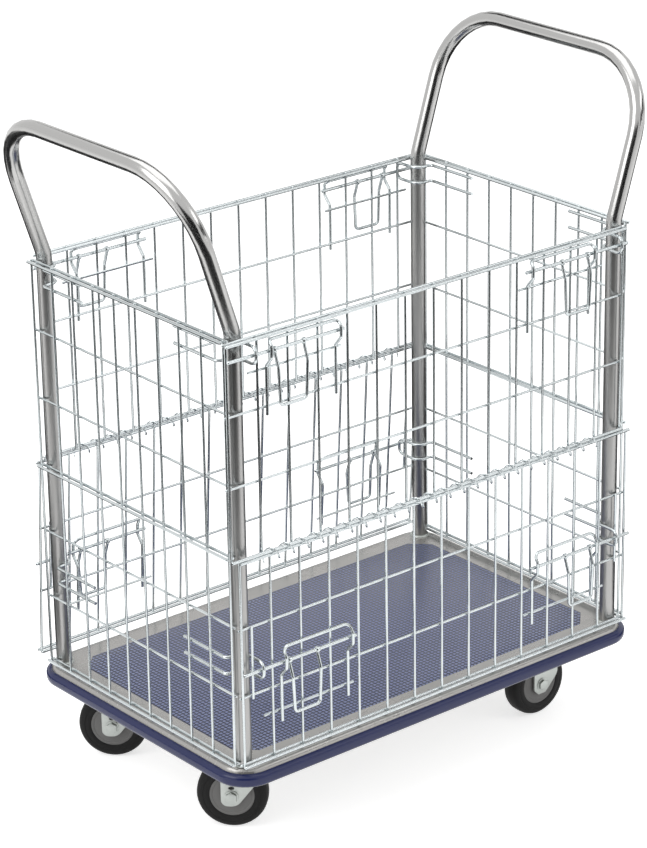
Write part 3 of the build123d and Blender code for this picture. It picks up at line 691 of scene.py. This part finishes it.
# Forks and brackets: zinc plated steel pressings. A fork leg is upright on its trailing
# edge, slants at the front, is rounded round the axle and has a slot over it. A bracket
# leg has upright edges and cut corners. The legs join in the crown or the plate.
wheel_radius, trail, fork_heading = 0.050, 0.033, math.radians(135)
leg_inside, leg_sheet, leg_foot, fork_top_length = 0.0155, 0.003, 0.015, 0.084
crown_top, crown_radius = 0.1162, 0.031
plate_half, plate_top, plate_sheet = Vector((0.048, 0.036, 0)), 0.128, 0.0035
slot_rise, slot_half = 0.0135, (0.0042, 0.0024)
fork_outline = ((0.015, 0.0662), (0.015, -0.015), (-0.00744, -0.015), (-0.069, 0.0662))
bracket_outline = (
    (-0.015, 0.0745), (-0.015, -0.007), (-0.007, -0.015), (0.007, -0.015), (0.031, 0.009),
    (0.031, 0.0745),
)
fork_rounds = {1: 0.0095, 2: 0.0075}
bracket_rounds = {1: 0.002, 2: 0.002, 3: 0.002, 4: 0.006}
leg_edge, crown_edge, plate_edge, plate_corner = 0.0009, 0.0012, 0.0008, 0.008


def caster_base(x, side, heading):
    """The foot of a caster on the floor, turned the way the caster points."""
    return Matrix.Translation((x, side * caster_y, 0)) @ Matrix.Rotation(heading, 4, "Z")


def pressed_leg(bm, base, along, hand, outline, rounds, slot):
    """One leg of a pressing with its edges broken. Rounds has a radius for some corners."""
    before = set(bm.faces)
    corners = [
        bm.verts.new(base @ Vector((along + x, hand * leg_inside, wheel_radius + z)))
        for x, z in outline
    ]
    bm.faces.new(corners)
    for number, radius in rounds.items():
        bmesh.ops.bevel(
            bm, geom=[corners[number]], offset=radius, offset_type="OFFSET", segments=5,
            profile=0.5, affect="VERTICES", material=-1,
        )
    faces = [f for f in bm.faces if f not in before]
    out = base.to_3x3() @ Vector((0, hand * leg_sheet, 0))
    if slot:
        edges = list(faces[0].edges)
        bmesh.ops.delete(bm, geom=faces, context="FACES_ONLY")
        upright = Matrix.Rotation(math.pi / 2, 4, "X") @ Matrix.Diagonal((*slot_half, 1, 1))
        middle = base @ Matrix.Translation((along, hand * leg_inside, wheel_radius + slot_rise))
        hole = bmesh.ops.create_circle(bm, segments=14, radius=1, matrix=middle @ upright)
        edges += {e for v in hole["verts"] for e in v.link_edges}
        filled = bmesh.ops.triangle_fill(bm, edges=edges, use_beauty=True, normal=out.normalized())
        faces = [f for f in filled["geom"] if isinstance(f, bmesh.types.BMFace)]
    lid = pulled(bm, faces, out)
    rim_edges = {e for f in lid for e in f.edges if not set(e.link_faces) <= set(lid)}
    eased(bm, rim_edges, leg_edge, 2)


for side_name, side in long_sides:
    base = caster_base(swivel_x, side, fork_heading)
    fork = bmesh.new()
    for hand in (-1, 1):
        pressed_leg(fork, base, trail, hand, fork_outline, fork_rounds, True)
    disc = bmesh.ops.create_circle(
        fork, cap_ends=True, segments=40, radius=crown_radius,
        matrix=base @ Matrix.Translation((0, 0, crown_top - leg_sheet)),
    )
    crown = pulled(fork, list(disc["verts"][0].link_faces), (0, 0, leg_sheet))
    eased(fork, crown[0].edges, crown_edge, 2)
    middle = (trail + leg_foot - fork_top_length / 2, 0, crown_top - leg_sheet / 2)
    size = (fork_top_length, 2 * (leg_inside + leg_sheet), leg_sheet, 1)
    bridge = bmesh.ops.create_cube(
        fork, size=1, matrix=base @ Matrix.Translation(middle) @ Matrix.Diagonal(size)
    )
    eased(fork, {e for v in bridge["verts"] for e in v.link_edges}, leg_edge, 2)
    bmesh.ops.recalc_face_normals(fork, faces=fork.faces[:])
    finished(
        fork, f"{side_name}_left_yoke", zinc, f"{side_name}_left_swivel",
        [f"{side_name}_left_fork"],
    )

    base = caster_base(fixed_x, side, 0)
    bracket = bmesh.new()
    for hand in (-1, 1):
        pressed_leg(bracket, base, 0, hand, bracket_outline, bracket_rounds, False)
    flat = bmesh.new()
    face = rounded_sheet(flat, -plate_half, plate_half, 0, plate_corner, 5)
    lid = pulled(flat, [face], (0, 0, plate_sheet))
    eased(flat, lid[0].edges, plate_edge, 1)
    lift = base @ Matrix.Translation((0, 0, plate_top - plate_sheet))
    bmesh.ops.transform(flat, matrix=lift, verts=flat.verts[:])
    made = bpy.data.meshes.new("bracket_plate")
    flat.to_mesh(made)
    flat.free()
    bracket.from_mesh(made)
    bpy.data.meshes.remove(made)
    bmesh.ops.recalc_face_normals(bracket, faces=bracket.faces[:])
    finished(
        bracket, f"{side_name}_right_yoke", zinc, "base",
        [f"{side_name}_right_bracket"],
    )

# Axles: a zinc plated bolt through both legs of a fork or bracket, on which the wheel
# turns. A washer lies under its head and another under its nut.
head_radius, head_height, washer_radius, washer_height = 0.0086, 0.005, 0.0100, 0.0012
axle_radius, axle_edge = 0.006, 0.0009


def axle_ends(bm, base, along):
    """The shank, washers, head and nut of one axle."""
    place = base @ Matrix.Translation((along, 0, wheel_radius))
    place = place @ Matrix.Rotation(math.pi / 2, 4, "X")
    outside = leg_inside + leg_sheet
    bmesh.ops.create_cone(
        bm, cap_ends=True, segments=24, radius1=axle_radius, radius2=axle_radius,
        depth=2 * outside, matrix=place,
    )
    for hand in (-1, 1):
        for sides, radius, foot, height in (
            (28, washer_radius, 0, washer_height),
            (6, head_radius, washer_height, head_height - washer_height),
        ):
            middle = Matrix.Translation((0, 0, hand * (outside + foot + height / 2)))
            made = bmesh.ops.create_cone(
                bm, cap_ends=True, segments=sides, radius1=radius, radius2=radius, depth=height,
                matrix=place @ middle,
            )
            eased(bm, cap_edges(made, sides), min(axle_edge, height * 0.3), 2)


for side_name, side in long_sides:
    pin = bmesh.new()
    base = caster_base(swivel_x, side, fork_heading)
    axle_ends(pin, base, trail)
    finished(
        pin, f"{side_name}_left_pin", zinc, f"{side_name}_left_swivel",
        [f"{side_name}_left_axle"],
    )
pins = bmesh.new()
for side in (-1, 1):
    axle_ends(pins, caster_base(fixed_x, side, 0), 0)
finished(pins, "fixed_pins", zinc, "base", ["fixed_axles"])

# Wheels: a solid black rubber tyre moulded on a grey plastic hub. The tyre has rounded
# shoulders, a flat tread with a parting line and a fine matt skin.
tyre_black, tyre_dusty = (0.009, 0.009, 0.009), (0.015, 0.0147, 0.0145)
hub_grey, hub_scuffed = (0.165, 0.163, 0.160), (0.210, 0.207, 0.203)

tread = Finish("black_tyre_rubber", {"Specular IOR Level": 0.2})
dust = tread.grain(30, 5)
skin = tread.grain(650, 2)
tread.feed({
    "Base Color": tread.blend(dust, tyre_black, tyre_dusty),
    "Roughness": 0.46 + 0.22 * dust,
})
tread.relief(skin, 0.0001, 0.5)

moulded = Finish("grey_moulded_plastic", {"Specular IOR Level": 0.35})
scuffed = moulded.grain(24, 4)
moulded.feed({
    "Base Color": moulded.blend(scuffed, hub_grey, hub_scuffed),
    "Roughness": 0.55 + 0.18 * scuffed,
})
moulded.relief(moulded.grain(900, 2), 0.00006, 0.4)

tyre_profile = (
    (0.0315, 0.0132), (0.0330, 0.0140), (0.0395, 0.0140), (0.0400, 0.0136), (0.0405, 0.0140),
    (0.0430, 0.0138), (0.0462, 0.0126), (0.0484, 0.0104), (0.0496, 0.0072), (0.0499, 0.0010),
    (0.04999, 0.0004),
)
hub_rings = [(0.013 + k * 0.0011, 0.0125 - k % 2 * 0.00012) for k in range(13)]
hub_profile = (
    (0.00605, 0.0145), (0.0106, 0.0145), (0.0111, 0.0140), (0.0114, 0.0127), *hub_rings,
    (0.0270, 0.0122), (0.0274, 0.0126), (0.0306, 0.0129), (0.0315, 0.0126),
)


def wheel_ring(bm, place, profile):
    """Turn a profile of radius and half width, mirrored at the middle, round the axle."""
    loop = [*profile, *((r, -w) for r, w in reversed(profile))]
    outline = [place @ Vector((0, w, r)) for r, w in loop]
    lathed(bm, outline, place.translation, place.to_3x3() @ Vector((0, 1, 0)), 72)
    bmesh.ops.recalc_face_normals(bm, faces=bm.faces[:])


for side_name, side in long_sides:
    for end, x, heading, along in (
        ("left", swivel_x, fork_heading, trail), ("right", fixed_x, 0, 0),
    ):
        place = caster_base(x, side, heading) @ Matrix.Translation((along, 0, wheel_radius))
        wheel = f"{side_name}_{end}"
        tyre = bmesh.new()
        wheel_ring(tyre, place, tyre_profile)
        finished(
            tyre, f"{wheel}_tread", tread, f"{wheel}_wheel", [f"{wheel}_tyre"], 40,
        )
        hub = bmesh.new()
        wheel_ring(hub, place, hub_profile)
        finished(
            hub, f"{wheel}_centre", moulded, f"{wheel}_wheel", [f"{wheel}_hub"], 40,
        )

# Floor: pale studio paper that takes the soft shadow of the trolley. It also glows, for the
# camera and in reflections only, so that it looks white there.
floor_half, floor_glow, floor_mirrored = 30, 0.64, 0.86
mirror_rays = ("Is Glossy Ray", "Is Transmission Ray")
floor = bmesh.new()
bmesh.ops.create_grid(floor, x_segments=1, y_segments=1, size=floor_half)
floor_mesh = bpy.data.meshes.new("studio_floor")
floor.to_mesh(floor_mesh)
floor.free()
studio_floor = bpy.data.objects.new("studio_floor", floor_mesh)
scene.collection.objects.link(studio_floor)
backdrop = Finish("pale_floor", {
    "Roughness": 1.0, "Specular IOR Level": 0.0, "Emission Strength": 1.0,
})
watched = backdrop.node("LightPath", output="Is Camera Ray")
for ray in mirror_rays:
    mirrored = floor_mirrored * backdrop.node("LightPath", output=ray)
    watched = watched.maths("MAXIMUM", watched, mirrored)
paper = backdrop.grain(3, 2)
backdrop.feed({
    "Base Color": backdrop.blend(paper, (0.79, 0.79, 0.79), (0.81, 0.81, 0.81)),
    "Emission Color": backdrop.blend(watched, (0, 0, 0), (floor_glow,) * 3),
})
studio_floor.data.materials.append(backdrop.material)

# Flags: dark cards on the floor, round the camera and above, which show in reflections only.
# They are painted reflections that darken what the steel and vinyl mirror, and the small
# card beside the trolley is a painted shade of the floor there. Each has its place, its
# turn and tilt in degrees and its half sizes.
card_black, card_grey = (0.020, 0.020, 0.021), (0.035, 0.035, 0.036)
# The dark card is a painted reflection and, beside the trolley, a painted shade; it shows in
# reflections only.
card = Finish("dark_card", {"Roughness": 0.9, "Specular IOR Level": 0.0})
card.feed({"Base Color": card.blend(card.grain(2, 2), card_black, card_grey)})
for name, place, turn, tilt, half in (
    ("flag_floor", (-1.9, -2.33, 0.01), 230.8, 0, (1.8, 2.6)),
    ("flag_camera", (-3.2, -3.9, 1.4), 230.8, 90, (1.4, 2.8)),
    ("flag_right", (2.0, 0.0, 0.01), 0.0, 0, (1.4, 0.75)),
    ("flag_back", (-0.35, 1.8, 0.01), 100.0, 0, (1.3, 0.75)),
    ("flag_high", (1.45, 1.65, 2.8), 48.9, 47, (0.5, 1.3)),
    ("flag_front", (1.9, -2.3, 1.6), 309.6, 68, (0.45, 1.5)),
    ("flag_near", (-0.9, 0.45, 0.01), 0.0, 0, (0.25, 0.45)),
):
    sheet = bmesh.new()
    spread = Matrix.Translation(place) @ Matrix.Rotation(math.radians(turn), 4, "Z")
    spread = spread @ Matrix.Rotation(math.radians(tilt), 4, "Y") @ Matrix.Diagonal((*half, 1, 1))
    bmesh.ops.create_grid(sheet, x_segments=1, y_segments=1, size=1, matrix=spread)
    card_mesh = bpy.data.meshes.new(name)
    sheet.to_mesh(card_mesh)
    sheet.free()
    flag = bpy.data.objects.new(name, card_mesh)
    flag.data.materials.append(card.material)
    flag.visible_camera = flag.visible_shadow = flag.visible_diffuse = False
    scene.collection.objects.link(flag)

# Light: a key from the left, a fill from the front right and a broad soft box above, in a
# white studio that is dimmer as a light than it looks.
for name, place, aim, size, watts in (
    ("key_light", (-3.3, 0.2, 2.6), (0, 0, 0.4), 2.6, 50),
    ("fill_light", (2.3, -3.0, 2.2), (0, 0, 0.4), 2.4, 30),
    ("top_light", (0.2, 0.4, 3.4), (0, 0, 0.3), 3.0, 34),
):
    lamp = bpy.data.lights.new(name, "AREA")
    lamp.energy, lamp.size = watts, size
    light = bpy.data.objects.new(name, lamp)
    light.location = place
    light.rotation_mode = "QUATERNION"
    light.rotation_quaternion = (Vector(aim) - Vector(place)).to_track_quat("-Z", "Y")
    scene.collection.objects.link(light)


class Surround(Finish):
    """The white studio round the trolley, with the same kind of nodes."""

    def __init__(self, name):
        scene.world = bpy.data.worlds.new(name)
        scene.world.use_nodes = True
        self.tree = scene.world.node_tree
        self.shader = self.tree.nodes["Background"]


studio_light, studio_seen = (0.66, 0.66, 0.66), (1, 1, 1)
studio = Surround("white_studio")
seen = studio.node("LightPath", output="Is Camera Ray")
for ray in mirror_rays:
    seen = seen.maths("MAXIMUM", seen, studio.node("LightPath", output=ray))
studio.feed({"Color": studio.blend(seen, studio_light, studio_seen), "Strength": 1.0})
scene.view_settings.view_transform = "Standard"

# Camera: a long lens, high and to the left of the front, as in the photograph.
yaw, pitch, roll = math.radians(39.22), math.radians(21.88), math.radians(-0.975)
distance, focal_pixels, image_height, sensor = 4.569, 3245, 848, 24
aim_aside, aim_height = -0.0161, 0.484
look = Vector((math.sin(yaw) * math.cos(pitch), math.cos(yaw) * math.cos(pitch), -math.sin(pitch)))
right = Vector((math.cos(yaw), -math.sin(yaw), 0))
up = right.cross(look)
target = right * aim_aside + Vector((0, 0, aim_height))
tilted_right = right * math.cos(roll) + up * math.sin(roll)
tilted_up = up * math.cos(roll) - right * math.sin(roll)
lens = bpy.data.cameras.new("camera")
lens.sensor_fit, lens.sensor_height = "VERTICAL", sensor
lens.lens = sensor * focal_pixels / image_height
camera = bpy.data.objects.new("camera", lens)
camera.matrix_world = Matrix.Translation(target - look * distance) @ Matrix(
    (tilted_right, tilted_up, -look)
).transposed().to_4x4()
scene.collection.objects.link(camera)
scene.camera = camera
